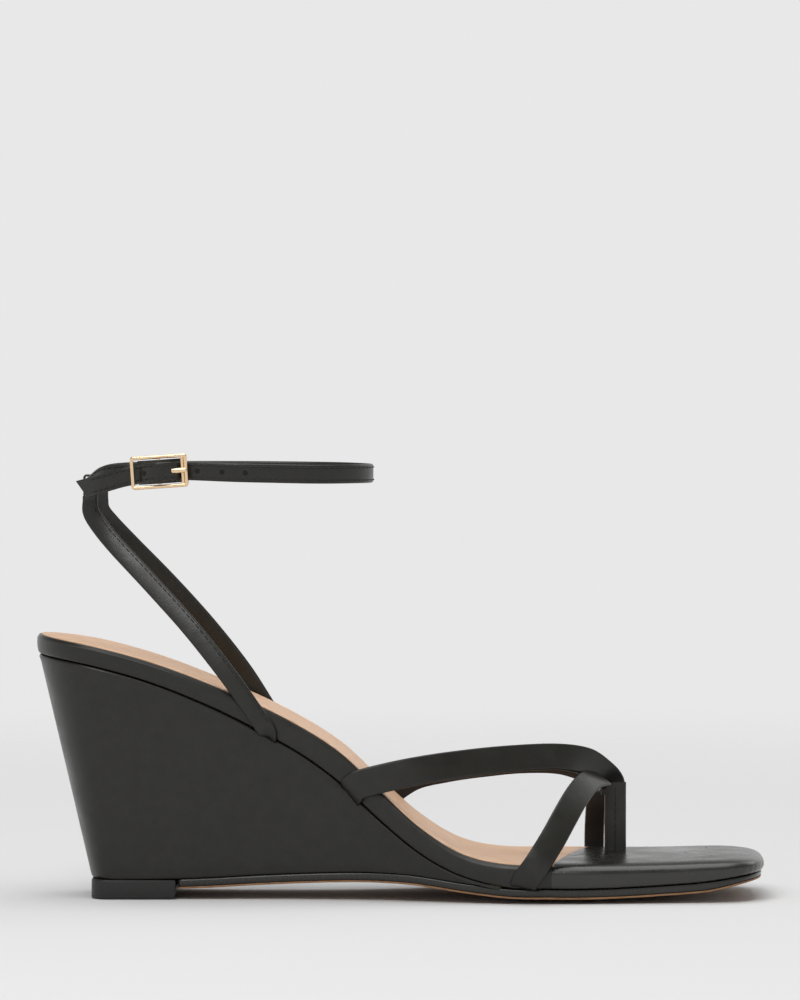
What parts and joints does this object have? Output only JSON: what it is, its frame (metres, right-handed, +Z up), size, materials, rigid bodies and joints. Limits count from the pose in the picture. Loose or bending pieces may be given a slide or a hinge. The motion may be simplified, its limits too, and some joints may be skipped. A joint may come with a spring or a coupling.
{
  "type": "wedge sandal",
  "caption": "Strappy wedge sandal for the right foot, with a square toe, a toe post, crossed instep straps, sling straps and a buckled ankle strap.",
  "frame": {"origin": "on the ground under the middle of the heel's top piece", "axes": "+X from heel to toe, +Y towards the inner side of the foot, +Z up"},
  "size_m": [0.2324, 0.082, 0.1419],
  "materials": {
    "black_leather": "smooth black calf leather, semi-matt",
    "toe_leather": "smooth black calf leather over a pad, semi-matt",
    "sock_leather": "undyed vegetable-tanned leather, matt",
    "strap_lining": "dark brown lining leather, matt",
    "outsole_leather": "thin leather outsole, raw edge",
    "runner": "black moulded runner, matt",
    "top_piece_rubber": "black moulded rubber, satin",
    "wedge_core": "moulded wedge, unseen",
    "insole_board": "fibre board, unseen",
    "filler": "cork filler, unseen",
    "foam": "open-cell foam, unseen",
    "steel": "plain steel, unseen",
    "buckle_gold": "pale gold plating, polished"
  },
  "bodies": {
    "root": {"top_piece": "top_piece_rubber", "top_piece_pins": "steel", "wedge_core": "wedge_core", "wedge_cover": "black_leather", "runner": "runner", "outsole": "outsole_leather", "insole_board": "insole_board", "shank": "steel", "shank_rivets": "steel", "heel_screws": "steel", "bottom_filler": "filler", "footbed_foam": "foam", "edge_binding": "black_leather", "toe_pad": "foam", "toe_cover": "toe_leather", "sock_lining": "sock_leather", "instep_strap_lateral": "black_leather", "instep_lining_lateral": "strap_lining", "instep_strap_medial": "black_leather", "instep_lining_medial": "strap_lining", "toe_strap": "black_leather", "toe_strap_lining": "strap_lining", "toe_loop": "black_leather", "toe_loop_lining": "strap_lining", "toe_post": "black_leather", "sling_lateral": "black_leather", "sling_medial": "black_leather", "back_loop": "black_leather"},
    "ankle": {"ankle_strap": "black_leather"},
    "buckle": {"buckle_frame": "buckle_gold", "buckle_bar": "buckle_gold"},
    "prong": {"buckle_prong": "buckle_gold"}
  },
  "joints": [
    {"name": "ankle_tilt", "type": "hinge", "parent": "root", "child": "ankle", "pos_m": [-0.0136, 0, 0.1306], "axis": [0, 1, 0], "range_deg": [-6, 6]},
    {"name": "buckle_rock", "type": "hinge", "parent": "ankle", "child": "buckle", "pos_m": [0.0098, -0.0262, 0.136], "axis": [-0.0685, 0.0133, 0.9976], "range_deg": [-3, 2]},
    {"name": "prong_lift", "type": "hinge", "parent": "buckle", "child": "prong", "pos_m": [0.0098, -0.0262, 0.136], "axis": [0.0685, -0.0133, -0.9976], "range_deg": [0, 8]}
  ]
}
